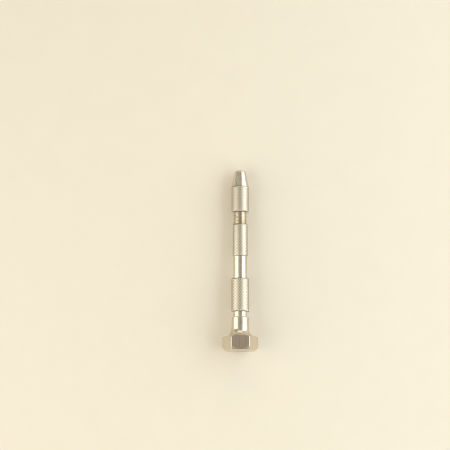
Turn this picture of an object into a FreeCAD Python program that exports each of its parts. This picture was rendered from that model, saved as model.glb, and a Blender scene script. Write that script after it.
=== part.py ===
"""A pin vise: a small hand drill that is twirled between the fingers.

It lies along Y with its nose towards +Y and one flat of its hexagonal palm head down on z = 0.
Each piece is made about its own Z axis, from its own rear end, and then laid down at its station,
which is its distance from the palm end of the tool. Millimetres.

The three screw threads are plain here, at the size of their crests, and both knurls are plain
cylinders at the size of their points.
"""
import FreeCAD, Part
import math
import os
import re

import Sketcher

# name: size in mm, or degrees where the name says angle
SIZES = {
    # palm head: a hexagon that flares into a round collar
    "across_flats": 17.0,
    "hex_length": 7.5,
    "hex_edge_round": 0.45,
    "palm_face_radius": 8.45,
    "palm_chamfer_length": 2.1,
    "crown_chamfer_length": 0.45,
    "flare_radius": 4.5,
    "collar_radius": 4.73,
    "head_length": 18.3,
    # swivel inside the palm head
    "journal_radius": 2.45,
    "running_clearance": 0.05,
    "ball_radius": 1.5,
    "ball_station": 6.5,
    "drill_point_angle": 118,
    "ring_station": 15.0,
    "ring_wire_radius": 0.4,
    "ring_sweep_angle": 325,
    "ring_groove_width": 0.9,
    "ring_groove_depth": 0.45,
    "stem_neck_radius": 3.8,
    "stem_neck_length": 2.9,
    "stem_screw_radius": 2.4,
    "stem_screw_length": 4.6,
    # rear sleeve
    "sleeve_radius": 4.85,
    "sleeve_length": 18.3,
    "sleeve_wall": 4.8,
    "rear_thread_radius": 3.45,
    # handle
    "handle_radius": 3.68,
    "waist_length": 12.1,
    "grip_radius": 4.12,
    "grip_length": 17.6,
    "thread_shown": 6.7,
    "thread_in_nut": 9.3,
    "handle_end_gap": 0.3,
    "store_radius": 2.6,
    "store_length": 25.7,
    "web_hole_radius": 1.65,
    "socket_radius": 2.55,
    "socket_length": 12.2,
    # collets
    "collet_length": 25.4,
    "collet_radius": 2.5,
    "collet_tip_radius": 1.95,
    "collet_taper_angle": 12,
    "jaw_slot_width": 0.45,
    "jaw_slot_length": 9.0,
    "bore_for_drills": 0.9,
    "bore_for_fine_drills": 0.5,
    "bore_for_pins": 1.3,
    "bore_for_large_drills": 1.55,
    # chuck nut
    "nut_length": 23.0,
    "nut_radius": 4.78,
    "nut_knurl_length": 14.2,
    "nose_root_radius": 4.6,
    "nose_radius": 3.08,
    "nose_round": 1.1,
    "nut_thread_depth": 12.0,
    "nut_core_radius": 2.65,
    # small breaks of edge
    "knurl_chamfer": 0.35,
    "edge_break": 0.2,
    "face_gap": 0.05,
}

# stations, in mm from the palm end
SLEEVE_REAR = "(head_length + stem_neck_length)"
SLEEVE_FRONT = f"({SLEEVE_REAR} + sleeve_length)"
WAIST_FRONT = f"({SLEEVE_FRONT} + waist_length)"
GRIP_FRONT = f"({WAIST_FRONT} + grip_length)"
NUT_REAR = f"({GRIP_FRONT} + thread_shown)"
TOOL_LENGTH = f"({NUT_REAR} + nut_length)"
HANDLE_REAR = f"({SLEEVE_REAR} + sleeve_wall + handle_end_gap)"
HANDLE_FRONT = f"({NUT_REAR} + thread_in_nut)"
STEM_REAR = "(ball_station + ball_radius + face_gap)"
SPARE_REAR = f"({HANDLE_REAR} - face_gap)"
SOCKET_FLOOR = f"({HANDLE_FRONT} - socket_length)"
COLLET_REAR = f"({SOCKET_FLOOR} + face_gap)"

POINT_SLOPE = "tan(drill_point_angle / 2)"
TAPER_SLOPE = "tan(collet_taper_angle)"

doc = FreeCAD.newDocument("pin_vise")
sheet = doc.addObject("Spreadsheet::Sheet", "Sizes")
for row, (name, size) in enumerate(SIZES.items(), start=1):
    sheet.set(f"A{row}", name)
    sheet.set(f"B{row}", str(size))
    sheet.setAlias(f"B{row}", name)
doc.recompute()


def bound(expression):
    """The expression with each size's name pointing at the sheet. Angles get their unit."""

    def cell(match):
        name = match[0]
        unit = " * 1 deg" if name.endswith("angle") else ""
        return f"(Sizes.{name}{unit})" if name in SIZES else name

    return re.sub(r"[a-z_]+", cell, expression)


def value(expression):
    return float(doc.Sizes.evalExpression(bound(expression)))


def bind(item, **expressions):
    for prop, expression in expressions.items():
        item.setExpression(prop.replace("__", "."), bound(expression))


def lay_down(item, station):
    """Put a sub-part at its station along the tool, with its own Z axis along +Y."""
    item.Placement = FreeCAD.Placement(
        FreeCAD.Vector(0, 0, 0), FreeCAD.Rotation(FreeCAD.Vector(1, 0, 0), -90)
    )
    bind(
        item,
        Placement__Base__y=f"{station} - {TOOL_LENGTH} / 2",
        Placement__Base__z="across_flats / 2",
    )
    item.Label = item.Name


def plane(body, role):
    return next(f for f in body.Origin.OriginFeatures if f.Role == role)


def outline(body, name, points, role="XZ_Plane", arcs=(), lift="0"):
    """A closed sketch whose corners sit at points, pairs of expressions.

    arcs gives {index of the corner that an arc starts from: (centre x, centre y, radius)}.
    On XZ_Plane the pairs are (radius, station), on XY_Plane they are (x, y).
    """
    sketch = body.newObject("Sketcher::SketchObject", name)
    sketch.AttachmentSupport = (plane(body, role), [""])
    sketch.MapMode = "FlatFace"
    bind(sketch, AttachmentOffset__Base__z=lift)
    places = [FreeCAD.Vector(value(x), value(y), 0) for x, y in points]
    arcs = dict(arcs)
    ends = []
    for i, here in enumerate(places):
        there = places[(i + 1) % len(places)]
        if i not in arcs:
            edge = sketch.addGeometry(Part.LineSegment(here, there))
            ends.append((edge, 1, 2))
            continue
        centre = FreeCAD.Vector(value(arcs[i][0]), value(arcs[i][1]), 0)
        from_angle, to_angle = (math.atan2(p.y - centre.y, p.x - centre.x) for p in (here, there))
        turn = (to_angle - from_angle + math.pi) % (2 * math.pi) - math.pi
        start = from_angle if turn > 0 else to_angle
        circle = Part.Circle(centre, FreeCAD.Vector(0, 0, 1), value(arcs[i][2]))
        edge = sketch.addGeometry(Part.ArcOfCircle(circle, start, start + abs(turn)))
        ends.append((edge, 1, 2) if turn > 0 else (edge, 2, 1))
        radius = sketch.addConstraint(Sketcher.Constraint("Radius", edge, value(arcs[i][2])))
        sketch.setExpression(f"Constraints[{radius}]", bound(arcs[i][2]))
    for i, (x, y) in enumerate(points):
        edge, first, _ = ends[i]
        before, _, last = ends[i - 1]
        sketch.addConstraint(Sketcher.Constraint("Coincident", before, last, edge, first))
        for kind, expression in (("DistanceX", x), ("DistanceY", y)):
            size = sketch.addConstraint(
                Sketcher.Constraint(kind, -1, 1, edge, first, value(expression))
            )
            sketch.setExpression(f"Constraints[{size}]", bound(expression))
    return sketch


def new_body(name):
    return doc.addObject("PartDesign::Body", name)


def turned(body, name, points, arcs=(), kind="PartDesign::Revolution"):
    """Turn a profile about the body's Z axis, as added or, for a Groove, removed stock."""
    sketch = outline(body, f"{name}_profile", points, arcs=arcs)
    feature = body.newObject(kind, name)
    feature.Profile = sketch
    feature.ReferenceAxis = (sketch, ["V_Axis"])
    feature.Angle = 360
    doc.recompute()
    return feature


def bored(body, name, points, arcs=()):
    before = body.Shape.Volume
    groove = turned(body, name, points, arcs, "PartDesign::Groove")
    assert body.Shape.Volume < before, f"{name} cuts nothing"
    return groove


def make_swivel_head():
    body = new_body("swivel_head")
    corner = "across_flats / sqrt(3)"
    flat = "across_flats / 2"
    hexagon = [
        (corner, "0"),
        (f"{corner} / 2", flat),
        (f"-{corner} / 2", flat),
        (f"-{corner}", "0"),
        (f"-{corner} / 2", f"-{flat}"),
        (f"{corner} / 2", f"-{flat}"),
    ]
    bar = body.newObject("PartDesign::Pad", "hexagon_bar")
    bar.Profile = outline(body, "hexagon", hexagon, role="XY_Plane")
    bind(bar, Length="head_length")
    doc.recompute()
    corners = [
        f"Edge{i}" for i, e in enumerate(bar.Shape.Edges, start=1)
        if e.BoundBox.ZLength > value("head_length") / 2
    ]
    rounding = body.newObject("PartDesign::Fillet", "hexagon_edges")
    rounding.Base = (bar, corners)
    bind(rounding, Radius="hex_edge_round")
    doc.recompute()

    clear = "across_flats"
    crown_radius = "(collar_radius + flare_radius)"
    outside = [
        ("palm_face_radius", "0"),
        (f"{corner} + edge_break", "palm_chamfer_length"),
        (f"{corner} + edge_break", "hex_length - crown_chamfer_length"),
        (crown_radius, "hex_length"),
        ("collar_radius", "hex_length + flare_radius"),
        ("collar_radius", "head_length - edge_break"),
        ("collar_radius - edge_break", "head_length"),
        ("collar_radius - edge_break", "head_length + edge_break"),
        (clear, "head_length + edge_break"),
        (clear, "-edge_break"),
        ("palm_face_radius", "-edge_break"),
    ]
    flare = {3: (crown_radius, "hex_length + flare_radius", "flare_radius")}
    bored(body, "turned_outside", outside, flare)

    bore = "(journal_radius + running_clearance)"
    cone_tip = f"(ball_station - ball_radius / sin(drill_point_angle / 2))"
    groove_rear = "(ring_station - ring_groove_width / 2)"
    groove_front = "(ring_station + ring_groove_width / 2)"
    swivel_bore = [
        ("0", cone_tip),
        (bore, f"{cone_tip} + {bore} / {POINT_SLOPE}"),
        (bore, groove_rear),
        (f"{bore} + ring_groove_depth", groove_rear),
        (f"{bore} + ring_groove_depth", groove_front),
        (bore, groove_front),
        (bore, "head_length - edge_break"),
        (f"{bore} + edge_break", "head_length"),
        (f"{bore} + edge_break", "head_length + edge_break"),
        ("0", "head_length + edge_break"),
    ]
    bored(body, "swivel_bore", swivel_bore)
    lay_down(body, "0")


def make_thrust_ball():
    ball = doc.addObject("Part::Sphere", "thrust_ball")
    bind(ball, Radius="ball_radius")
    lay_down(ball, "ball_station")


def make_snap_ring():
    ring = doc.addObject("Part::Torus", "snap_ring")
    bind(
        ring,
        Radius1="journal_radius",
        Radius2="ring_wire_radius",
        Angle3="ring_sweep_angle",
    )
    lay_down(ring, "ring_station")


def make_swivel_stem():
    body = new_body("swivel_stem")
    groove_rear = f"(ring_station - ring_groove_width / 2 - {STEM_REAR})"
    groove_front = f"({groove_rear} + ring_groove_width)"
    neck_rear = f"(head_length + face_gap - {STEM_REAR})"
    neck_front = f"({SLEEVE_REAR} - {STEM_REAR})"
    tip = f"({neck_front} + stem_screw_length)"
    profile = [
        ("0", "0"),
        ("journal_radius - edge_break", "0"),
        ("journal_radius", "edge_break"),
        ("journal_radius", groove_rear),
        ("journal_radius - ring_groove_depth", groove_rear),
        ("journal_radius - ring_groove_depth", groove_front),
        ("journal_radius", groove_front),
        ("journal_radius", neck_rear),
        ("stem_neck_radius", neck_rear),
        ("stem_neck_radius", neck_front),
        ("stem_screw_radius", neck_front),
        ("stem_screw_radius", f"{tip} - 2 * edge_break"),
        ("stem_screw_radius - 2 * edge_break", tip),
        ("0", tip),
    ]
    turned(body, "turned_stem", profile)
    lay_down(body, STEM_REAR)


def make_rear_sleeve():
    body = new_body("rear_sleeve")
    thread = "(rear_thread_radius + running_clearance)"
    profile = [
        ("stem_screw_radius", "0"),
        ("sleeve_radius - knurl_chamfer", "0"),
        ("sleeve_radius", "knurl_chamfer"),
        ("sleeve_radius", "sleeve_length - knurl_chamfer"),
        ("sleeve_radius - knurl_chamfer", "sleeve_length"),
        (f"{thread} + edge_break", "sleeve_length"),
        (thread, "sleeve_length - edge_break"),
        (thread, "sleeve_wall"),
        ("stem_screw_radius", "sleeve_wall"),
    ]
    turned(body, "turned_sleeve", profile)
    lay_down(body, SLEEVE_REAR)


def make_spindle():
    """The handle, with its thread at each end, the spare collet's store and the collet's socket."""
    body = new_body("spindle")
    shoulder = f"({SLEEVE_FRONT} + face_gap - {HANDLE_REAR})"
    grip_rear = f"({WAIST_FRONT} - {HANDLE_REAR})"
    grip_front = f"({GRIP_FRONT} - {HANDLE_REAR})"
    front = f"({HANDLE_FRONT} - {HANDLE_REAR})"
    socket_floor = f"({SOCKET_FLOOR} - {HANDLE_REAR})"
    store_cone = f"(store_radius - web_hole_radius) / {POINT_SLOPE}"
    profile = [
        ("store_radius + edge_break", "0"),
        ("rear_thread_radius - knurl_chamfer", "0"),
        ("rear_thread_radius", "knurl_chamfer"),
        ("rear_thread_radius", shoulder),
        ("handle_radius", shoulder),
        ("handle_radius", grip_rear),
        ("grip_radius - edge_break", grip_rear),
        ("grip_radius", f"{grip_rear} + edge_break"),
        ("grip_radius", f"{grip_front} - edge_break"),
        ("grip_radius - edge_break", grip_front),
        ("handle_radius", grip_front),
        ("handle_radius", f"{front} - knurl_chamfer"),
        ("handle_radius - knurl_chamfer", front),
        ("socket_radius + edge_break", front),
        ("socket_radius", f"{front} - edge_break"),
        ("socket_radius", socket_floor),
        ("web_hole_radius", socket_floor),
        ("web_hole_radius", f"store_length + {store_cone}"),
        ("store_radius", "store_length"),
        ("store_radius", "edge_break"),
    ]
    turned(body, "turned_handle", profile)
    lay_down(body, HANDLE_REAR)


def slot_jaws(body, name, end, reversed_cut, twist):
    """Four slots along the axis from one end of a collet, a quarter turn apart."""
    slot = [
        ("0", "-jaw_slot_width / 2"),
        ("collet_radius + edge_break", "-jaw_slot_width / 2"),
        ("collet_radius + edge_break", "jaw_slot_width / 2"),
        ("0", "jaw_slot_width / 2"),
    ]
    sketch = outline(body, f"{name}_slot", slot, role="XY_Plane", lift=end)
    sketch.AttachmentOffset = FreeCAD.Placement(
        sketch.AttachmentOffset.Base, FreeCAD.Rotation(FreeCAD.Vector(0, 0, 1), twist)
    )
    before = body.Shape.Volume
    cut = body.newObject("PartDesign::Pocket", f"{name}_cut")
    cut.Profile = sketch
    cut.Reversed = reversed_cut
    bind(cut, Length="jaw_slot_length + edge_break")
    doc.recompute()
    around = body.newObject("PartDesign::PolarPattern", f"{name}_jaws")
    around.Originals = [cut]
    around.Axis = (plane(body, "Z_Axis"), [""])
    around.Angle = 360
    around.Occurrences = 4
    body.Tip = around
    doc.recompute()
    assert body.Shape.Volume < before, f"{name} slots cut nothing"


def make_collet(name, station, front_bore, rear_bore):
    """A double-ended collet: a cone, a bore and four jaws at each end."""
    body = new_body(name)
    taper = f"((collet_radius - collet_tip_radius) / {TAPER_SLOPE})"
    profile = [
        (rear_bore, "0"),
        ("collet_tip_radius", "0"),
        ("collet_radius", taper),
        ("collet_radius", f"collet_length - {taper}"),
        ("collet_tip_radius", "collet_length"),
        (front_bore, "collet_length"),
        (front_bore, "collet_length / 2"),
        (rear_bore, "collet_length / 2"),
    ]
    turned(body, "turned_collet", profile)
    slot_jaws(body, "front", "collet_length + edge_break", False, 0)
    slot_jaws(body, "rear", "-edge_break", True, 45)
    lay_down(body, station)


def make_chuck_nut():
    body = new_body("chuck_nut")
    thread = "(handle_radius + running_clearance)"
    collet_front = f"({COLLET_REAR} + collet_length - {NUT_REAR})"
    seat_at_collet_tip = "(collet_tip_radius + running_clearance)"
    mouth = f"({seat_at_collet_tip} - (nut_length - {collet_front}) * {TAPER_SLOPE})"
    cone_rear = f"(nut_length - (nut_core_radius - {mouth}) / {TAPER_SLOPE})"
    thread_run_out = f"(nut_thread_depth + ({thread} - nut_core_radius) / {POINT_SLOPE})"
    round_rear = "(nut_length - nose_round)"
    profile = [
        (f"{thread} + edge_break", "0"),
        ("nut_radius - knurl_chamfer", "0"),
        ("nut_radius", "knurl_chamfer"),
        ("nut_radius", "nut_knurl_length"),
        ("nose_root_radius", "nut_knurl_length"),
        ("nose_radius", round_rear),
        ("nose_radius - nose_round", "nut_length"),
        (mouth, "nut_length"),
        ("nut_core_radius", cone_rear),
        ("nut_core_radius", thread_run_out),
        (thread, "nut_thread_depth"),
        (thread, "edge_break"),
    ]
    nose = {5: ("nose_radius - nose_round", round_rear, "nose_round")}
    turned(body, "turned_nut", profile, nose)
    lay_down(body, NUT_REAR)


def check_and_export():
    doc.recompute()
    for item in doc.Objects:
        assert not {"Invalid", "Error"} & set(item.State), f"{item.Name} failed: {item.State}"
    os.makedirs("parts", exist_ok=True)
    kinds = ("PartDesign::Body", "Part::Sphere", "Part::Torus")
    pieces = [item for item in doc.Objects if item.TypeId in kinds]
    for piece in pieces:
        shape = piece.Shape
        assert not shape.isNull() and shape.isValid(), f"{piece.Label} has no valid shape"
        assert len(shape.Solids) == 1, f"{piece.Label} isn't one solid"
        print(f"{piece.Label}: {shape.Volume:.1f} mm3, {shape.BoundBox}")
    for piece in pieces:
        piece.Shape.exportStep(f"parts/{piece.Label}.step")


make_swivel_head()
make_thrust_ball()
make_snap_ring()
make_swivel_stem()
make_rear_sleeve()
make_spindle()
make_collet("spare_collet", SPARE_REAR, "bore_for_large_drills", "bore_for_pins")
make_collet("working_collet", COLLET_REAR, "bore_for_drills", "bore_for_fine_drills")
make_chuck_nut()
check_and_export()
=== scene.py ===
"""The looks of a nickel-plated pin vise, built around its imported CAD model.

Lengths are in millimetres until a mesh is made. A profile is a list of rings, each a radius about
the tool's axis and a place along Y. The first column of every ring points straight up, and the
others follow by the right-hand rule about +Y.
"""
import math

import bmesh
import bpy
import numpy as np
from mathutils import Matrix, Vector


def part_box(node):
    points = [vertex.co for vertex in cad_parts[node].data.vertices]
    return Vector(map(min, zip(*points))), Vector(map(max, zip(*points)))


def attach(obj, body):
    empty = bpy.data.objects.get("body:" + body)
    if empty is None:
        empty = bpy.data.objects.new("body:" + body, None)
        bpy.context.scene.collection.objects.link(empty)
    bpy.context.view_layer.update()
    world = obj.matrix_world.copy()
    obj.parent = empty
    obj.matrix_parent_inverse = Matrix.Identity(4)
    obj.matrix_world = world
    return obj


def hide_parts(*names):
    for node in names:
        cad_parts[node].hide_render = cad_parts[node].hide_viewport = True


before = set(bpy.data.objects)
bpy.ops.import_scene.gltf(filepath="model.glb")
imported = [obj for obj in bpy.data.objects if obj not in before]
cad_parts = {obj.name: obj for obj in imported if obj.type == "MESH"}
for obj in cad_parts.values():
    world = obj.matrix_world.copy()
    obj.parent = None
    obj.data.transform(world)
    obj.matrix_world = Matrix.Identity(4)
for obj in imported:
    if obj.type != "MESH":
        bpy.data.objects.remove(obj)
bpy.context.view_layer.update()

MM = 0.001
TAU = 2 * math.pi


def ends(node):
    """Where a CAD node starts and stops along Y."""
    low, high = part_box(node)
    return low.y / MM, high.y / MM


def half_width(node):
    low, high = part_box(node)
    return (high.x - low.x) / 2 / MM


def axis_height():
    low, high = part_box("spindle")
    return (low.z + high.z) / 2 / MM


AXIS = axis_height()
PALM, HEAD_FRONT = ends("swivel_head")
STEM_REAR, STEM_FRONT = ends("swivel_stem")
SLEEVE_REAR, SLEEVE_FRONT = ends("rear_sleeve")
HANDLE_REAR, HANDLE_FRONT = ends("spindle")
NUT_REAR, NOSE = ends("chuck_nut")

# sizes shared by several pieces, which the boxes of the nodes don't tell
RUNNING_CLEARANCE = 0.05
EDGE_BREAK = 0.2
EDGE_SOFTNESS = 0.08
DRILL_POINT = math.radians(59)  # half the angle that a drill leaves at the bottom of its hole
HANDLE_RADIUS = 3.68
REAR_THREAD_RADIUS = 3.45
JOURNAL_RADIUS = 2.45
RING_PLACE = PALM + 15.0
RING_GROOVE_WIDTH = 0.9
RING_GROOVE_DEPTH = 0.45
RING_WIRE_RADIUS = 0.4
STEM_SCREW_RADIUS = 2.4
COLLET_TIP_RADIUS = 1.95
COLLET_TAPER = math.tan(math.radians(12))
COLLET_MOUTH_BREAK = 0.1
SAW_CUT_LENGTH = 9.0
SAW_CUT_WIDTH = 0.45

# sizes of the rear sleeve and the handle
SLEEVE_WALL = 4.8
WAIST_LENGTH = 12.1
GRIP_LENGTH = 17.6
STORE_RADIUS = 2.6
STORE_DEPTH = 25.7
SOCKET_RADIUS = 2.55
SOCKET_DEPTH = 12.2
WEB_HOLE_RADIUS = 1.65

# sizes of the chuck nut
NUT_KNURL_LENGTH = 14.2
NUT_THREAD_LENGTH = 12.0
NUT_BORE_RADIUS = 2.65
CONE_RADIUS = 4.6
NOSE_RADIUS = 3.08
NOSE_ROUND = 1.1
NOSE_RINGS = 13

KNURL_TEETH = 32
GRIP_TEETH = 28
KNURL_ANGLE = math.radians(29)
KNURL_TIP = 1 / 2  # where a pyramid is cut flat, as a share of its full height
KNURL_CELL_STEPS = 2  # columns, and rows, to half a tooth
KNURL_DEPTH = 0.19
GRIP_KNURL_DEPTH = 0.15
KNURL_CHAMFER = 0.35
KNURL_FACE_STEP = 0.1  # how far inside the chamfer the end face's last ring lies

PITCH = 0.75
THREAD_DEPTH = 0.38
THREAD_FORM = (1, 1, 2 / 3, 1 / 3, 0, 0, 1 / 3, 2 / 3, 1)  # heights along one pitch, 0 at the root
THREAD_STEPS = len(THREAD_FORM) - 1

# the places of a piece's materials: the plain one, and the one for its knurl or its flats
PLAIN, OTHER = 0, 1

SHARP = 28  # degrees between two faces above which the edge isn't shaded smooth


# ---------------------------------------------------------------- meshes

def placed(name, data):
    """A new object in the scene that holds the data."""
    made = bpy.data.objects.new(name, data)
    bpy.context.scene.collection.objects.link(made)
    return made


def new_object(name, points, faces, sharp=SHARP, finishes=None):
    """A mesh object from points in metres, with coincident points merged and hard edges marked."""
    mesh = bpy.data.meshes.new(name)
    mesh.from_pydata(np.asarray(points).tolist(), [], np.asarray(faces).tolist())
    if finishes is not None:
        mesh.polygons.foreach_set("material_index", finishes)
    work = bmesh.new()
    work.from_mesh(mesh)
    bmesh.ops.remove_doubles(work, verts=work.verts, dist=2e-7)
    bmesh.ops.recalc_face_normals(work, faces=work.faces)
    work.to_mesh(mesh)
    work.free()
    made = placed(name, mesh)
    shade(made, sharp)
    return made


def shade(piece, sharp):
    piece.data.shade_smooth()
    piece.data.set_sharp_from_angle(angle=math.radians(sharp))


def apply_modifiers(piece, sharp):
    """A piece's modifiers baked into its mesh."""
    graph = bpy.context.evaluated_depsgraph_get()
    mesh = bpy.data.meshes.new_from_object(piece.evaluated_get(graph))
    piece.modifiers.clear()
    piece.data = mesh
    shade(piece, sharp)


def add_bevel(piece, width, segments, above):
    """A modifier that softens the edges whose faces meet at more than so many degrees."""
    bevel = piece.modifiers.new("edges", "BEVEL")
    bevel.width = width * MM
    bevel.segments = segments
    bevel.limit_method = "ANGLE"
    bevel.angle_limit = math.radians(above)


def columns(teeth=KNURL_TEETH):
    """The angles of a skin's columns, in step with a knurl of so many teeth."""
    count = teeth * 2 * KNURL_CELL_STEPS
    return np.arange(count) * TAU / count


def wave(turns):
    """0 at the bottom of a groove, at whole turns, and 1 halfway between two."""
    return 1 - np.abs(2 * (turns % 1) - 1)


def rounded(points, soften, steps=4):
    """The profile with each corner between its ends swept into a short curve."""
    tiny = 1e-9
    most_of_side = 0.45
    smooth = [points[0]]
    for before, corner, after in zip(points, points[1:], points[2:]):
        corner = Vector(corner)
        to_before, to_after = Vector(before) - corner, Vector(after) - corner
        start = corner + to_before * min(soften / max(to_before.length, tiny), most_of_side)
        stop = corner + to_after * min(soften / max(to_after.length, tiny), most_of_side)
        for k in range(steps + 1):
            t = k / steps
            point = start * (1 - t) ** 2 + corner * 2 * t * (1 - t) + stop * t ** 2
            smooth.append(tuple(point))
    return smooth + [points[-1]]


class Skin:
    """A surface made of rings about the tool's axis.

    A face has the other finish where both of its rings have it.
    """

    def __init__(self, turns=columns()):
        self.turns = turns
        self.rings = []
        self.seams = []
        self.finishes = []

    def ring(self, radius, y, seam=None, finish=PLAIN):
        """One ring. Its last column meets the ring called seam, which on a thread isn't itself."""
        whole = np.ones(len(self.turns))
        self.seams.append(len(self.rings) if seam is None else seam)
        self.rings.append((radius * whole, y * whole))
        self.finishes.append(finish)

    def line(self, *points, soften=EDGE_SOFTNESS):
        """Rings along a profile, given as pairs of a radius and a place."""
        for radius, y in rounded(points, soften):
            self.ring(radius, y)

    def knurl(self, teeth, crest, rear, front, depth, rear_chamfer, front_chamfer):
        """Two hands of grooves that leave blunt pyramids, in a band with a chamfer at each end."""
        period = TAU * crest / teeth / math.tan(KNURL_ANGLE)
        cells = round((front - rear) / period * 2)
        around = self.turns * teeth / TAU
        for y in np.linspace(rear, front, cells * KNURL_CELL_STEPS + 1):
            along = (y - rear) / (front - rear) * cells / 2
            height = np.minimum(wave(around + along), wave(around - along))
            height = np.minimum(height / KNURL_TIP, 1)
            limit = crest - max(0, rear_chamfer - (y - rear), front_chamfer - (front - y))
            self.ring(np.minimum(crest - depth * (1 - height), limit), y, finish=OTHER)

    def thread(self, crest, rear, front, chamfer=0.0, inward=False):
        """A right-handed screw thread, whose rows follow the helix and stop at the two end planes.

        An inward one lines a bore, so its rows run from the front to the rear.
        """
        first_step = math.floor(rear / PITCH * THREAD_STEPS) - THREAD_STEPS
        last_step = math.ceil(front / PITCH * THREAD_STEPS)
        steps = range(first_step, last_step + 1)
        start = len(self.rings)
        last = start + len(steps) - 1
        for place, step in enumerate(reversed(steps) if inward else steps):
            y = np.clip(PITCH * (step / THREAD_STEPS + self.turns / TAU), rear, front)
            phase = (y / PITCH - self.turns / TAU) % 1 * THREAD_STEPS
            height = np.interp(phase, range(THREAD_STEPS + 1), THREAD_FORM)
            limit = crest - np.maximum(0, chamfer - np.minimum(y - rear, front - y))
            meets = start + place + (-THREAD_STEPS if inward else THREAD_STEPS)
            radius = crest - THREAD_DEPTH * (1 - height)
            self.ring(np.minimum(radius, limit), y, seam=min(max(meets, start), last))

    def mesh(self, name, bored=False, sharp=SHARP):
        """The surface as an object. On a bored piece the last ring meets the first."""
        count = len(self.turns)
        radius = np.array([r for r, _ in self.rings])
        y = np.array([s for _, s in self.rings])
        across, up = radius * np.sin(self.turns), radius * np.cos(self.turns) + AXIS
        points = np.stack([across, y, up], axis=-1).reshape(-1, 3) * MM
        here = np.arange(len(self.rings))[:, None] * count + np.arange(count)
        right = np.roll(here, -1, axis=1)
        right[:, -1] = np.array(self.seams) * count
        finishes = np.array(self.finishes)
        if bored:
            here, right = np.vstack([here, here[:1]]), np.vstack([right, right[:1]])
            finishes = np.append(finishes, finishes[0])
        quads = np.stack([here[:-1], right[:-1], right[1:], here[1:]], axis=-1).reshape(-1, 4)
        # a quad folds along its first diagonal: the more level one, or the lower of two level ones
        same = 1e-9
        corners = radius.ravel()[quads]
        slope = np.abs(corners[:, :2] - corners[:, 2:])
        height = corners[:, :2] + corners[:, 2:]
        even = np.isclose(slope[:, 0], slope[:, 1], atol=same)
        turned = np.where(even, height[:, 1] < height[:, 0] - same, slope[:, 1] < slope[:, 0])
        quads[turned] = np.roll(quads[turned], 1, axis=1)
        between = np.minimum(finishes[:-1], finishes[1:])
        return new_object(name, points, quads, sharp, np.repeat(between, count))


def finish_piece(piece, body, node, slot, *materials):
    """Stand a piece in for a CAD node, on its body and in its materials, the plain one first."""
    for material in materials:
        piece.data.materials.append(material)
    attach(piece, body)
    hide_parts(node)


# ---------------------------------------------------------------- pieces

HEX_INRADIUS = AXIS
HEX_EDGE_ROUND = 0.45
HEX_LENGTH = 7.5
PALM_FACE_RADIUS = 8.45
PALM_CHAMFER_LENGTH = 2.1
CROWN_CHAMFER_LENGTH = 0.45
FLARE_RADIUS = 4.5
COLLAR_RADIUS = 4.73
FLAT_COLUMNS = 40
CORNER_COLUMNS = 6
FLAT_RINGS = 5
FLARE_RINGS = 25


def hexagon():
    """The turns and radii of a hexagon with rounded corners, and the radius of a sharp corner.

    One flat is square to the first column.
    """
    half_side = math.radians(30)
    corner = HEX_INRADIUS / math.cos(half_side)
    centre = (HEX_INRADIUS - HEX_EDGE_ROUND) / math.cos(half_side)
    tangent = half_side - math.atan2(centre * math.sin(half_side), HEX_INRADIUS)
    on_flat = np.linspace(tangent - half_side, half_side - tangent, FLAT_COLUMNS)
    on_corner = np.linspace(-tangent, tangent, CORNER_COLUMNS + 2)[1:-1]
    flat_radius = HEX_INRADIUS / np.cos(on_flat)
    corner_radius = centre * np.cos(on_corner) + np.sqrt(
        HEX_EDGE_ROUND ** 2 - (centre * np.sin(on_corner)) ** 2
    )
    sixth = np.concatenate([on_flat, on_corner + half_side])
    turns = np.concatenate([sixth + k * TAU / 6 for k in range(6)])
    return turns, np.tile(np.concatenate([flat_radius, corner_radius]), 6), corner


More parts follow.
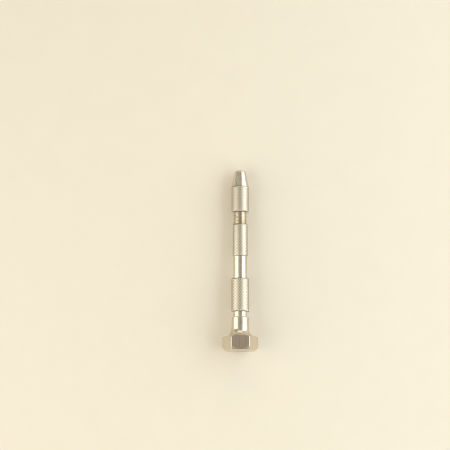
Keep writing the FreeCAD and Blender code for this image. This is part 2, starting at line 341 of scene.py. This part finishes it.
def swivel_head():
    turns, flats, corner = hexagon()
    skin = Skin(turns)
    chamfer = (corner + EDGE_BREAK - PALM_FACE_RADIUS) / PALM_CHAMFER_LENGTH
    crown_radius = COLLAR_RADIUS + FLARE_RADIUS
    crown_chamfer = (corner + EDGE_BREAK - crown_radius) / CROWN_CHAMFER_LENGTH
    flare_top = PALM + HEX_LENGTH + FLARE_RADIUS

    for radius in (0, 2.0, 4.0, 6.0, PALM_FACE_RADIUS):
        skin.ring(radius, PALM)
    rear_edge = PALM + (flats - PALM_FACE_RADIUS) / chamfer
    on_flare = np.minimum(flats, crown_radius)
    front_edge = flare_top - np.sqrt(FLARE_RADIUS ** 2 - (crown_radius - on_flare) ** 2)
    front_edge = front_edge - np.maximum(flats - crown_radius, 0) / crown_chamfer
    for share in np.linspace(0, 1, FLAT_RINGS):
        skin.ring(flats, rear_edge + (front_edge - rear_edge) * share, finish=OTHER)
    start = np.arcsin((crown_radius - on_flare) / FLARE_RADIUS)
    for share in np.linspace(0, 1, FLARE_RINGS):
        angle = start + (math.pi / 2 - start) * share
        radius = crown_radius - FLARE_RADIUS * np.sin(angle)
        skin.ring(radius, flare_top - FLARE_RADIUS * np.cos(angle))

    bore = JOURNAL_RADIUS + RUNNING_CLEARANCE
    ball_low, ball_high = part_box("thrust_ball")
    ball_radius = (ball_high.y - ball_low.y) / 2 / MM
    cone_tip = ball_low.y / MM + ball_radius - ball_radius / math.sin(DRILL_POINT)
    groove = [
        (bore, RING_PLACE + RING_GROOVE_WIDTH / 2),
        (bore + RING_GROOVE_DEPTH, RING_PLACE + RING_GROOVE_WIDTH / 2),
        (bore + RING_GROOVE_DEPTH, RING_PLACE - RING_GROOVE_WIDTH / 2),
        (bore, RING_PLACE - RING_GROOVE_WIDTH / 2),
    ]
    skin.line(
        (COLLAR_RADIUS, flare_top + EDGE_BREAK),
        (COLLAR_RADIUS, HEAD_FRONT - EDGE_BREAK),
        (COLLAR_RADIUS - EDGE_BREAK, HEAD_FRONT),
        (bore + EDGE_BREAK, HEAD_FRONT),
        (bore, HEAD_FRONT - EDGE_BREAK),
        *groove,
        (bore, cone_tip + bore / math.tan(DRILL_POINT)),
        (0, cone_tip),
    )
    edge_angle = 24
    head = skin.mesh("swivel_head_turned", sharp=edge_angle)
    add_bevel(head, width=0.09, segments=2, above=edge_angle)
    apply_modifiers(head, sharp=40)
    return head


def thrust_ball():
    low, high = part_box("thrust_ball")
    centre, radius = (low.y + high.y) / 2 / MM, (high.y - low.y) / 2 / MM
    ring_count = 33
    skin = Skin(columns()[::4])
    for angle in np.linspace(0, math.pi, ring_count):
        skin.ring(radius * math.sin(angle), centre - radius * math.cos(angle))
    return skin.mesh("thrust_ball_polished")


def snap_ring():
    """A round wire bent into an open ring, with domed ends."""
    gap = math.radians(35)
    wire_steps, dome_steps, around = 96, 4, 20
    points = []
    turns = [(gap, math.pi / 2 * (1 - k / dome_steps)) for k in range(dome_steps)]
    turns += [(gap + (TAU - gap) * k / wire_steps, 0) for k in range(wire_steps + 1)]
    turns += [(TAU, -math.pi / 2 * k / dome_steps) for k in range(1, dome_steps + 1)]
    for turn, dome in turns:
        out = Vector((math.cos(turn), 0, math.sin(turn)))
        on = Vector((math.sin(turn), 0, -math.cos(turn)))
        centre = out * JOURNAL_RADIUS + on * RING_WIRE_RADIUS * math.sin(dome)
        for k in range(around):
            side = k * TAU / around
            spoke = out * math.cos(side) + Vector((0, math.sin(side), 0))
            place = centre + spoke * RING_WIRE_RADIUS * math.cos(dome)
            points.append((place.x * MM, (place.y + RING_PLACE) * MM, (place.z + AXIS) * MM))
    loops = len(turns)
    faces = [
        (i * around + k, i * around + (k + 1) % around,
         (i + 1) * around + (k + 1) % around, (i + 1) * around + k)
        for i in range(loops - 1) for k in range(around)
    ]
    return new_object("snap_ring_wire", points, faces)


def swivel_stem():
    skin = Skin()
    neck_radius = half_width("swivel_stem")
    groove_floor = JOURNAL_RADIUS - RING_GROOVE_DEPTH
    skin.line(
        (0, STEM_REAR),
        (JOURNAL_RADIUS - EDGE_BREAK, STEM_REAR),
        (JOURNAL_RADIUS, STEM_REAR + EDGE_BREAK),
        (JOURNAL_RADIUS, RING_PLACE - RING_GROOVE_WIDTH / 2),
        (groove_floor, RING_PLACE - RING_GROOVE_WIDTH / 2),
        (groove_floor, RING_PLACE + RING_GROOVE_WIDTH / 2),
        (JOURNAL_RADIUS, RING_PLACE + RING_GROOVE_WIDTH / 2),
        (JOURNAL_RADIUS, HEAD_FRONT + RUNNING_CLEARANCE),
        (neck_radius, HEAD_FRONT + RUNNING_CLEARANCE),
        (neck_radius, SLEEVE_REAR),
        (STEM_SCREW_RADIUS, SLEEVE_REAR),
    )
    skin.thread(STEM_SCREW_RADIUS, SLEEVE_REAR, STEM_FRONT, chamfer=2 * EDGE_BREAK)
    skin.line((STEM_SCREW_RADIUS - 2 * EDGE_BREAK - THREAD_DEPTH, STEM_FRONT), (0, STEM_FRONT))
    return skin.mesh("swivel_stem_turned")


def rear_sleeve():
    skin = Skin()
    crest = half_width("rear_sleeve")
    face = crest - KNURL_CHAMFER - KNURL_FACE_STEP
    thread = REAR_THREAD_RADIUS + RUNNING_CLEARANCE
    wall = SLEEVE_REAR + SLEEVE_WALL
    skin.line((STEM_SCREW_RADIUS, SLEEVE_REAR), (face, SLEEVE_REAR))
    skin.knurl(
        KNURL_TEETH, crest, SLEEVE_REAR, SLEEVE_FRONT, KNURL_DEPTH, KNURL_CHAMFER, KNURL_CHAMFER
    )
    skin.line((face, SLEEVE_FRONT), (thread + EDGE_BREAK, SLEEVE_FRONT))
    skin.thread(thread, wall + PITCH, SLEEVE_FRONT - EDGE_BREAK, inward=True)
    skin.line((thread, wall + PITCH), (thread, wall), (STEM_SCREW_RADIUS, wall))
    return skin.mesh("rear_sleeve_knurled", bored=True)


def spindle():
    """The handle, from its rear mouth along the outside to its front and back along its bores."""
    skin = Skin(columns(GRIP_TEETH))
    shoulder = SLEEVE_FRONT + RUNNING_CLEARANCE
    grip_rear = SLEEVE_FRONT + WAIST_LENGTH
    grip_front = grip_rear + GRIP_LENGTH
    grip_radius = half_width("spindle")
    grip_face = grip_radius - GRIP_KNURL_DEPTH - EDGE_BREAK
    store_floor = HANDLE_REAR + STORE_DEPTH
    socket_floor = HANDLE_FRONT - SOCKET_DEPTH
    skin.line(
        (STORE_RADIUS + EDGE_BREAK, HANDLE_REAR),
        (REAR_THREAD_RADIUS - KNURL_CHAMFER - EDGE_SOFTNESS, HANDLE_REAR),
    )
    skin.thread(REAR_THREAD_RADIUS, HANDLE_REAR, shoulder - PITCH, chamfer=KNURL_CHAMFER)
    skin.line(
        (REAR_THREAD_RADIUS - THREAD_DEPTH, shoulder - PITCH),
        (REAR_THREAD_RADIUS - THREAD_DEPTH, shoulder),
        (HANDLE_RADIUS, shoulder),
        (HANDLE_RADIUS, grip_rear),
        (grip_face, grip_rear),
    )
    skin.knurl(
        GRIP_TEETH, grip_radius, grip_rear, grip_front, GRIP_KNURL_DEPTH, EDGE_BREAK, EDGE_BREAK
    )
    skin.line((grip_face, grip_front), (HANDLE_RADIUS, grip_front))
    skin.thread(HANDLE_RADIUS, grip_front, HANDLE_FRONT, chamfer=KNURL_CHAMFER)
    skin.line(
        (HANDLE_RADIUS - THREAD_DEPTH - EDGE_SOFTNESS, HANDLE_FRONT),
        (SOCKET_RADIUS + EDGE_BREAK, HANDLE_FRONT),
        (SOCKET_RADIUS, HANDLE_FRONT - EDGE_BREAK),
        (SOCKET_RADIUS, socket_floor),
        (WEB_HOLE_RADIUS, socket_floor),
        (WEB_HOLE_RADIUS, store_floor + (STORE_RADIUS - WEB_HOLE_RADIUS) / math.tan(DRILL_POINT)),
        (STORE_RADIUS, store_floor),
        (STORE_RADIUS, HANDLE_REAR + EDGE_BREAK),
        (STORE_RADIUS + EDGE_BREAK, HANDLE_REAR),
    )
    return skin.mesh("spindle_turned", bored=True)


def chuck_nut():
    skin = Skin()
    crest = half_width("chuck_nut")
    face = crest - KNURL_CHAMFER - KNURL_FACE_STEP
    thread = HANDLE_RADIUS + RUNNING_CLEARANCE
    thread_front = NUT_REAR + NUT_THREAD_LENGTH
    knurl_front = NUT_REAR + NUT_KNURL_LENGTH
    collet_front = ends("working_collet")[1]
    mouth = COLLET_TIP_RADIUS + RUNNING_CLEARANCE - (NOSE - collet_front) * COLLET_TAPER
    skin.line((thread + EDGE_BREAK, NUT_REAR), (face, NUT_REAR))
    skin.knurl(
        KNURL_TEETH, crest, NUT_REAR, knurl_front, KNURL_DEPTH, KNURL_CHAMFER, crest - CONE_RADIUS
    )
    skin.line((CONE_RADIUS, knurl_front), (NOSE_RADIUS, NOSE - NOSE_ROUND))
    nose_flat = NOSE_RADIUS - NOSE_ROUND
    for angle in np.linspace(0, math.pi / 2, NOSE_RINGS):
        skin.ring(
            nose_flat + NOSE_ROUND * math.cos(angle),
            NOSE - NOSE_ROUND + NOSE_ROUND * math.sin(angle),
        )
    skin.line(
        (nose_flat - 0.01, NOSE),
        (mouth, NOSE),
        (NUT_BORE_RADIUS, NOSE - (NUT_BORE_RADIUS - mouth) / COLLET_TAPER),
        (NUT_BORE_RADIUS, thread_front + (thread - NUT_BORE_RADIUS) / math.tan(DRILL_POINT)),
        (thread, thread_front),
    )
    skin.thread(thread, NUT_REAR + EDGE_BREAK, thread_front - PITCH, inward=True)
    return skin.mesh("chuck_nut_knurled", bored=True)


def collet(node, front_bore, rear_bore):
    """A double-ended collet. Two crossed saw cuts at each end leave its jaws."""
    rear, front = ends(node)
    body = half_width(node)
    taper = (body - COLLET_TIP_RADIUS) / COLLET_TAPER
    middle = (rear + front) / 2
    skin = Skin(columns()[::2])
    skin.line(
        (rear_bore, middle),
        (rear_bore, rear + COLLET_MOUTH_BREAK),
        (rear_bore + COLLET_MOUTH_BREAK, rear),
        (COLLET_TIP_RADIUS, rear),
        (body, rear + taper),
        (body, front - taper),
        (COLLET_TIP_RADIUS, front),
        (front_bore + COLLET_MOUTH_BREAK, front),
        (front_bore, front - COLLET_MOUTH_BREAK),
        (front_bore, middle),
        soften=EDGE_SOFTNESS / 2,
    )
    piece = skin.mesh(f"{node}_split", bored=True)
    cutters = [
        saw_cut(end, body, twist)
        for end, twists in ((front, (0, 90)), (rear, (45, 135)))
        for twist in twists
    ]
    for cutter in cutters:
        cut = piece.modifiers.new("slot", "BOOLEAN")
        cut.operation = "DIFFERENCE"
        cut.solver = "EXACT"
        cut.object = cutter
    add_bevel(piece, width=0.03, segments=1, above=50)
    apply_modifiers(piece, sharp=35)
    for cutter in cutters:
        bpy.data.objects.remove(cutter)
    return piece


def saw_cut(end, radius, twist):
    """A block through the axis and a collet's end, as long as a cut on either side of it."""
    size = Vector((SAW_CUT_WIDTH, 2 * SAW_CUT_LENGTH, 3 * radius)) * MM
    block = bmesh.new()
    bmesh.ops.create_cube(block, size=1)
    place = Matrix.Translation(Vector((0, end, AXIS)) * MM)
    turn = Matrix.Rotation(math.radians(twist), 4, "Y")
    stretch = Matrix.Diagonal((*size, 1))
    bmesh.ops.transform(block, matrix=place @ turn @ stretch, verts=block.verts)
    mesh = bpy.data.meshes.new("saw_cut")
    block.to_mesh(mesh)
    block.free()
    return placed("saw_cut", mesh)


# ---------------------------------------------------------------- materials

class Material:
    """A node material with one Principled shader. Its textures follow the object's coordinates."""

    def __init__(self, name, **values):
        self.material = bpy.data.materials.new(name)
        self.material.use_nodes = True
        self.tree = self.material.node_tree
        self.shader = self.tree.nodes["Principled BSDF"]
        for socket, value in values.items():
            self.shader.inputs[socket.replace("_", " ")].default_value = value
        self.place = self.node("ShaderNodeTexCoord").outputs["Object"]

    def node(self, kind, inputs=None, **settings):
        made = self.tree.nodes.new(kind)
        for name, value in settings.items():
            setattr(made, name, value)
        for socket, value in (inputs or {}).items():
            if isinstance(value, bpy.types.NodeSocket):
                self.tree.links.new(value, made.inputs[socket])
            else:
                made.inputs[socket].default_value = value
        return made

    def link(self, output, socket):
        self.tree.links.new(output, self.shader.inputs[socket])

    def maths(self, operation, *values):
        return self.node("ShaderNodeMath", dict(enumerate(values)), operation=operation).outputs[0]

    def remap(self, value, low, high, to_low, to_high):
        limits = {"Value": value, 1: low, 2: high, 3: to_low, 4: to_high}
        return self.node("ShaderNodeMapRange", limits).outputs[0]

    def noise(self, scale, detail=3.0, stretch=None):
        """Noise with about scale blotches to a metre, or stretched by a factor along each axis."""
        place = self.place
        if stretch:
            scaled = {0: place, 1: stretch}
            place = self.node("ShaderNodeVectorMath", scaled, operation="MULTIPLY").outputs[0]
        settings = {"Vector": place, "Scale": scale, "Detail": detail, "Roughness": 0.6}
        return self.node("ShaderNodeTexNoise", settings).outputs["Fac"]

    def blend(self, factor, first, second):
        """The colour from first to second as the factor goes from 0 to 1."""
        ramp = self.node("ShaderNodeValToRGB", {"Fac": factor})
        for element, colour in zip(ramp.color_ramp.elements, (first, second)):
            element.color = (*colour, 1)
        return ramp.outputs["Color"]

    def off_axis(self):
        """How far a point is from the tool's axis, in metres."""
        level = self.node(
            "ShaderNodeVectorMath", {0: self.place, 1: (0, 0, -AXIS * MM)}, operation="ADD"
        ).outputs[0]
        across = self.node(
            "ShaderNodeVectorMath", {0: level, 1: (1, 0, 1)}, operation="MULTIPLY"
        ).outputs[0]
        return self.node("ShaderNodeVectorMath", {0: across}, operation="LENGTH").outputs["Value"]

    def bump(self, height, strength, distance, under=None):
        inputs = {"Height": height, "Strength": strength, "Distance": distance}
        if under is not None:
            inputs["Normal"] = under
        return self.node("ShaderNodeBump", inputs).outputs["Normal"]


# depths of relief in metres
TOOL_MARK = 2e-5
PIT = 1e-5
PAPER_GRAIN = 5e-5

NICKEL = (0.72, 0.66, 0.56)
NICKEL_DULL = (0.62, 0.55, 0.44)
# painted shade: the dark colour laid into the knurls' grooves and the low sides of their pyramids
NICKEL_GROOVE_PAINTED_SHADE = (0.24, 0.20, 0.15)


def nickel_plate(name, mottle=None, across=(0, 1, 0)):
    """Bright nickel over worked metal: faint tool marks, a mottled tint and a few pits.

    Across has a 1 for each axis that the marks cross. On turned metal that is the tool's own.
    """
    roughness = 0.2
    made = Material(name, Metallic=1.0)
    tint = made.noise(scale=220, detail=4, stretch=mottle)
    made.link(made.blend(made.remap(tint, 0.35, 0.7, 0, 1), NICKEL, NICKEL_DULL), "Base Color")
    smear = made.noise(scale=900, detail=2, stretch=[1 + 5 * share for share in across])
    made.link(made.remap(smear, 0.3, 0.7, roughness * 0.75, roughness * 1.35), "Roughness")
    lines = made.noise(scale=9000, detail=2, stretch=[max(share, 0.02) for share in across])
    marks = made.bump(lines, strength=0.12, distance=TOOL_MARK)
    pits = made.noise(scale=6000, detail=3)
    made.link(made.bump(pits, strength=0.06, distance=PIT, under=marks), "Normal")
    return made.material


def knurled_nickel(name, crest, depth):
    """Plate over a knurl, smoother on its points and duller in its grooves, with painted shade
    that darkens its grooves.
    """
    painted_shade_ends_above = 0.5
    roughness = 0.3
    made = Material(name, Metallic=1.0)
    height = made.remap(made.off_axis(), (crest - depth) * MM, crest * MM, 0, 1)
    mottle = made.maths("MULTIPLY_ADD", made.noise(scale=700, detail=4), 0.2, -0.1)
    mottled_height = made.maths("ADD", height, mottle)
    # painted shade: the deeper a point lies below the crest, the darker its colour, up to the
    # groove colour
    out_of_painted_shade = made.remap(mottled_height, 0, painted_shade_ends_above, 0, 1)
    made.link(made.blend(out_of_painted_shade, NICKEL_GROOVE_PAINTED_SHADE, NICKEL), "Base Color")
    made.link(made.remap(mottled_height, 0, 1, roughness * 1.5, roughness), "Roughness")
    grain = made.noise(scale=9000, detail=3)
    made.link(made.bump(grain, strength=0.15, distance=TOOL_MARK), "Normal")
    return made.material


def steel(name, colour, dull, roughness, grain):
    """Bare hardened steel with a ground surface and a trace of oil tint."""
    made = Material(name, Metallic=1.0)
    made.link(made.blend(made.noise(scale=400, detail=4), colour, dull), "Base Color")
    oil = made.noise(scale=1500, detail=3)
    made.link(made.remap(oil, 0.3, 0.7, roughness * 0.7, roughness * 1.4), "Roughness")
    ground = made.noise(scale=12000, detail=2, stretch=(0.05, 1, 0.05))
    made.link(made.bump(ground, strength=grain, distance=TOOL_MARK), "Normal")
    return made.material


# ---------------------------------------------------------------- the tool

def build_tool():
    polished = nickel_plate("nickel_polished")
    drawn = nickel_plate("nickel_drawn", mottle=(4, 0.2, 4), across=(1, 0, 1))
    sleeve_plate = knurled_nickel("nickel_sleeve_knurl", half_width("rear_sleeve"), KNURL_DEPTH)
    nut_plate = knurled_nickel("nickel_nut_knurl", half_width("chuck_nut"), KNURL_DEPTH)
    grip_plate = knurled_nickel("nickel_grip_knurl", half_width("spindle"), GRIP_KNURL_DEPTH)
    collet_steel = steel(
        "collet_steel", (0.50, 0.48, 0.45), (0.36, 0.34, 0.31), roughness=0.3, grain=0.2
    )
    ring_steel = steel(
        "ring_steel", (0.34, 0.34, 0.35), (0.22, 0.22, 0.23), roughness=0.25, grain=0.1
    )
    ball_steel = steel(
        "ball_steel", (0.62, 0.62, 0.63), (0.55, 0.55, 0.57), roughness=0.08, grain=0.02
    )

    head = swivel_head()
    finish_piece(head, "swivel_head", "swivel_head", "plated_metal", polished, drawn)
    ball = thrust_ball()
    finish_piece(ball, "swivel_head", "thrust_ball", "bearing_steel", ball_steel)
    ring = snap_ring()
    finish_piece(ring, "rear_sleeve", "snap_ring", "spring_steel", ring_steel)
    stem = swivel_stem()
    finish_piece(stem, "rear_sleeve", "swivel_stem", "plated_metal", polished)
    sleeve = rear_sleeve()
    finish_piece(sleeve, "rear_sleeve", "rear_sleeve", "plated_metal", polished, sleeve_plate)
    handle = spindle()
    finish_piece(handle, "handle", "spindle", "plated_metal", polished, grip_plate)
    spare = collet("spare_collet", front_bore=1.55, rear_bore=1.3)
    finish_piece(spare, "spare_collet", "spare_collet", "collet_steel", collet_steel)
    working = collet("working_collet", front_bore=0.9, rear_bore=0.5)
    finish_piece(working, "working_collet", "working_collet", "collet_steel", collet_steel)
    nut = chuck_nut()
    finish_piece(nut, "chuck_nut", "chuck_nut", "plated_metal", polished, nut_plate)


# ---------------------------------------------------------------- studio

CEILING = (0.39, 0.32, 0.28)
WALLS = (0.54, 0.53, 0.46)
CEILING_STOPS, WALLS_START = 0.03, 0.18  # how far a direction leans to either side, as a sine
BACKDROP = (0.86, 0.84, 0.79)
PAPER = (0.84, 0.78, 0.67)
PAPER_LIGHT = (0.88, 0.82, 0.71)
PAPER_REACH = 2.0  # metres
PAPER_GAP = 0.01
LEFT_LIGHT = (1.0, 0.95, 0.84)
RIGHT_LIGHT = (0.96, 0.99, 1.0)
NOSE_LIGHT = (1.0, 0.92, 0.74)


def floor():
    """A pale sheet that the tool rests on by one edge of its hexagon and by its nut."""
    head_edge = PALM + HEX_LENGTH
    nut_edge = NUT_REAR + NUT_KNURL_LENGTH
    drop = AXIS - half_width("chuck_nut")
    lean = math.atan(drop / (nut_edge - head_edge))
    mesh = bpy.data.meshes.new("studio_floor")
    corners = [
        (x * PAPER_REACH, y * PAPER_REACH, 0)
        for x, y in ((-1, -1), (1, -1), (1, 1), (-1, 1))
    ]
    mesh.from_pydata(corners, [], [(0, 1, 2, 3)])
    sheet = placed("studio_floor", mesh)
    sheet.location = Vector((0, head_edge, -PAPER_GAP)) * MM
    sheet.rotation_euler = (lean, 0, 0)
    paper = Material("floor_paper", Roughness=0.75)
    cloud = paper.noise(scale=60, detail=5)
    paper.link(paper.blend(cloud, PAPER, PAPER_LIGHT), "Base Color")
    grain = paper.noise(scale=2500, detail=4)
    paper.link(paper.bump(grain, strength=0.05, distance=PAPER_GRAIN), "Normal")
    mesh.materials.append(paper.material)


def panel(name, width, length, place, turn, brightness, colour):
    """A lit rectangle, as bright at any size, that the camera doesn't see. Lengths in metres."""
    data = bpy.data.lights.new(name, "AREA")
    data.shape = "RECTANGLE"
    data.size = width
    data.size_y = length
    data.energy = brightness * math.pi * width * length
    data.color = colour
    lamp = placed(name, data)
    lamp.location = place
    lamp.rotation_euler = turn
    lamp.visible_camera = False


def softbox(name, side, rear, front, brightness, colour):
    """A wide panel beside the tool, facing it, which reaches from rear to front along Y."""
    distance, angle, width = 0.6, math.radians(62), 0.68
    across, up = side * distance * math.sin(angle), distance * math.cos(angle)
    place = (across, (rear + front) / 2, up)
    panel(name, width, front - rear, place, (0, side * angle, 0), brightness, colour)


def nose_board(brightness):
    """A panel beyond the nose, a little above the floor, that brightens what faces forward."""
    away, low, high, width = 0.9, 0.22, 1.0, 0.9
    place = (0, away, (low + high) / 2)
    turn = (math.radians(-90), 0, 0)
    panel("nose_board", width, high - low, place, turn, brightness, NOSE_LIGHT)


def surroundings():
    """A warm grey room, darker above the tool, and pale where the camera looks past the floor."""
    world = bpy.data.worlds.new("studio")
    world.use_nodes = True
    nodes, links = world.node_tree.nodes, world.node_tree.links
    way = nodes.new("ShaderNodeSeparateXYZ")
    links.new(nodes.new("ShaderNodeTexCoord").outputs["Generated"], way.inputs[0])
    aside = nodes.new("ShaderNodeMath")
    aside.operation = "ABSOLUTE"
    links.new(way.outputs["X"], aside.inputs[0])
    walls = nodes.new("ShaderNodeValToRGB")
    walls.color_ramp.elements[0].position = CEILING_STOPS
    walls.color_ramp.elements[0].color = (*CEILING, 1)
    walls.color_ramp.elements[1].position = WALLS_START
    walls.color_ramp.elements[1].color = (*WALLS, 1)
    links.new(aside.outputs[0], walls.inputs["Fac"])
    room = nodes["Background"]
    links.new(walls.outputs["Color"], room.inputs["Color"])
    seen = nodes.new("ShaderNodeBackground")
    seen.inputs["Color"].default_value = (*BACKDROP, 1)
    mix = nodes.new("ShaderNodeMixShader")
    path = nodes.new("ShaderNodeLightPath")
    links.new(path.outputs["Is Camera Ray"], mix.inputs["Fac"])
    links.new(room.outputs[0], mix.inputs[1])
    links.new(seen.outputs[0], mix.inputs[2])
    links.new(mix.outputs[0], nodes["World Output"].inputs["Surface"])
    bpy.context.scene.world = world


def camera():
    """A long lens almost square above the tool, leaning 8 degrees towards its palm end."""
    data = bpy.data.cameras.new("camera")
    data.lens = 200
    data.sensor_width = 36
    data.clip_start, data.clip_end = 0.05, 20
    view_width = 0.24615
    distance = view_width / (data.sensor_width / data.lens)
    elevation = math.radians(82)
    target = Vector((-8.3, PALM + 68.95, AXIS)) * MM
    back = Vector((0, -math.cos(elevation), math.sin(elevation)))
    seat = placed("camera", data)
    seat.location = target + back * distance
    seat.rotation_euler = (-back).to_track_quat("-Z", "Y").to_euler()
    bpy.context.scene.camera = seat


camera()
build_tool()
floor()
softbox("softbox_left", side=-1, rear=-0.75, front=0.14, brightness=1.5, colour=LEFT_LIGHT)
softbox("softbox_right", side=1, rear=-0.6, front=0.5, brightness=1.7, colour=RIGHT_LIGHT)
nose_board(brightness=0.85)
surroundings()
bpy.context.scene.view_settings.view_transform = "Standard"
# a crisp pixel filter, because the usual one blurs the knurl away
bpy.context.scene.cycles.filter_width = 1.0
